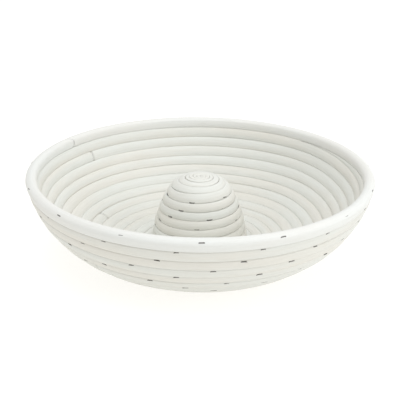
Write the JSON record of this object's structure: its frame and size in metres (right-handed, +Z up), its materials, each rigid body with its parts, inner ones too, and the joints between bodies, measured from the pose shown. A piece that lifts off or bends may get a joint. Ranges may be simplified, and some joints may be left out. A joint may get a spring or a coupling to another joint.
{
  "type": "ring banneton basket",
  "caption": "Round coiled-cane proofing basket with a hollow central cone that shapes dough into a ring.",
  "frame": {"origin": "centre of the base, on the plane the basket stands on", "axes": "+Z up along the basket's own axis, -Y towards the viewer"},
  "size_m": [0.25, 0.25, 0.0652],
  "materials": {
    "cane": "pale peeled rattan cane, matt, with fine fibres along its length",
    "staple_wire": "plain steel staple wire, slightly dulled"
  },
  "bodies": {
    "root": {"floor_cane": "cane", "lower_wall_cane": "cane", "middle_wall_cane": "cane", "upper_wall_cane": "cane", "rim_cane": "cane", "cone_top_cane": "cane", "cone_skirt_cane": "cane", "rim_staples": "staple_wire", "bowl_staples_turn_01": "staple_wire", "bowl_staples_turn_02": "staple_wire", "bowl_staples_turn_03": "staple_wire", "bowl_staples_turn_04": "staple_wire", "bowl_staples_turn_05": "staple_wire", "bowl_staples_turn_06": "staple_wire", "bowl_staples_turn_07": "staple_wire", "bowl_staples_turn_08": "staple_wire", "bowl_staples_turn_09": "staple_wire", "bowl_staples_turn_10": "staple_wire", "bowl_staples_turn_11": "staple_wire", "bowl_staples_turn_12": "staple_wire", "bowl_staples_turn_13": "staple_wire", "cone_top_staples": "staple_wire", "cone_skirt_staples": "staple_wire"}
  },
  "joints": []
}
